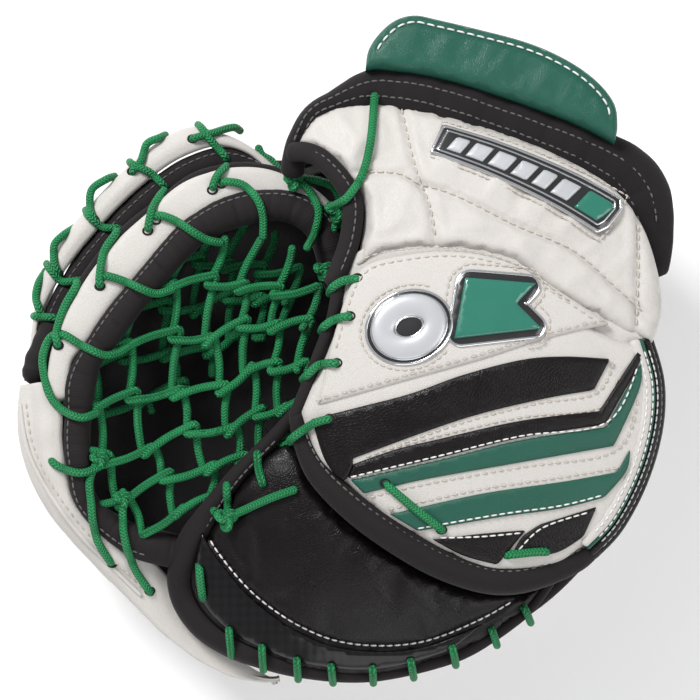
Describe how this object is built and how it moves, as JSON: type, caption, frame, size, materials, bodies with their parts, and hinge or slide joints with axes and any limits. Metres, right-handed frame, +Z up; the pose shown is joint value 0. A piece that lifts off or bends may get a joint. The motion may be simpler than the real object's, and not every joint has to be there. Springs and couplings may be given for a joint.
{
  "type": "goalie catch glove",
  "caption": "Padded ice hockey goalie catch glove with a laced net pocket, a folding thumb half, a cuff with a hinged wrist guard flap and a closing strap.",
  "frame": {"origin": "centre of the flat rest face on the back shell, at Z = 0", "axes": "+Z up from the rest face towards the thumb panel; +Y towards the cuff and hand opening; -X towards the netted pocket"},
  "size_m": [0.3648, 0.3702, 0.167],
  "materials": {
    "white_leather": "grained off-white synthetic leather, semi-matt, stitched",
    "black_leather": "grained black leather with a soft sheen",
    "green_leather": "smooth green leather with fine grain and white stitching",
    "binding_webbing": "woven nylon binding rolled over cord, matt",
    "liner_fabric": "brushed nylon lining",
    "green_lace": "braided round nylon lace",
    "foam": "closed-cell foam padding",
    "stiffener_plastic": "moulded plastic sheet",
    "badge_black": "moulded gloss black",
    "badge_chrome": "chromed moulding",
    "badge_green": "gloss green inlay",
    "hook_and_loop": "hook-and-loop tape"
  },
  "bodies": {
    "hand": {"finger_shell": "white_leather", "back_plate": "stiffener_plastic", "finger_core": "foam", "finger_stalls": "liner_fabric", "finger_lining": "black_leather", "finger_binding": "binding_webbing", "heel_gusset": "black_leather", "cuff_shell": "white_leather", "cuff_core": "foam", "cuff_liner": "liner_fabric", "cuff_roll": "binding_webbing", "cuff_edge_binding": "binding_webbing", "cuff_side_panel": "white_leather", "badge_frame": "badge_black", "badge_plate": "badge_chrome", "badge_accent": "badge_green", "far_post": "white_leather", "far_post_binding": "binding_webbing", "far_net": "green_lace", "spine_lacing": "green_lace", "strap_anchor": "binding_webbing", "strap_loop_patch": "hook_and_loop"},
    "strap": {"wrist_strap": "binding_webbing", "strap_hook_tape": "hook_and_loop"},
    "guard": {"wrist_guard_cover": "green_leather", "wrist_guard_core": "foam"},
    "thumb": {"thumb_shell": "white_leather", "thumb_core": "foam", "thumb_overlay": "white_leather", "emblem_ring": "badge_chrome", "emblem_flag": "badge_green", "stripe_black_upper": "black_leather", "stripe_black_lower": "black_leather", "stripe_green_upper": "green_leather", "stripe_white": "white_leather", "stripe_green_lower": "green_leather", "stripe_black_tips": "black_leather", "thumb_binding": "binding_webbing", "thumb_edge_binding": "binding_webbing", "thumb_side_wrap": "white_leather", "thumb_stall": "liner_fabric", "thumb_lining": "black_leather", "palm_leather": "black_leather", "palm_core": "foam", "palm_binding": "binding_webbing", "perimeter_lacing": "green_lace"},
    "pocket": {"near_post": "white_leather", "near_post_binding": "binding_webbing", "pocket_roll": "binding_webbing", "sweep": "white_leather", "sweep_core": "foam", "near_net": "green_lace", "rim_lacing": "green_lace"}
  },
  "joints": [
    {"name": "thumb_flex", "type": "hinge", "parent": "hand", "child": "thumb", "pos_m": [0.003, 0.04, 0.153], "axis": [-0.981, 0.194, 0], "range_deg": [-4, 15]},
    {"name": "pocket_fold", "type": "hinge", "parent": "hand", "child": "pocket", "pos_m": [-0.062, 0.05286, 0.097], "axis": [-0.8359, -0.5489, 0], "range_deg": [-5, 18]},
    {"name": "guard_hinge", "type": "hinge", "parent": "hand", "child": "guard", "pos_m": [0.085, 0.1465, 0.149], "axis": [0.9494, -0.3141, 0], "range_deg": [-5, 40]},
    {"name": "strap_flap", "type": "hinge", "parent": "hand", "child": "strap", "pos_m": [0.1712, 0.03, 0.063], "axis": [0, 1, 0], "range_deg": [0, 70]}
  ],
  "couplings": [
    {"joint": "pocket_fold", "follows": "thumb_flex", "ratio": 1.17}
  ]
}
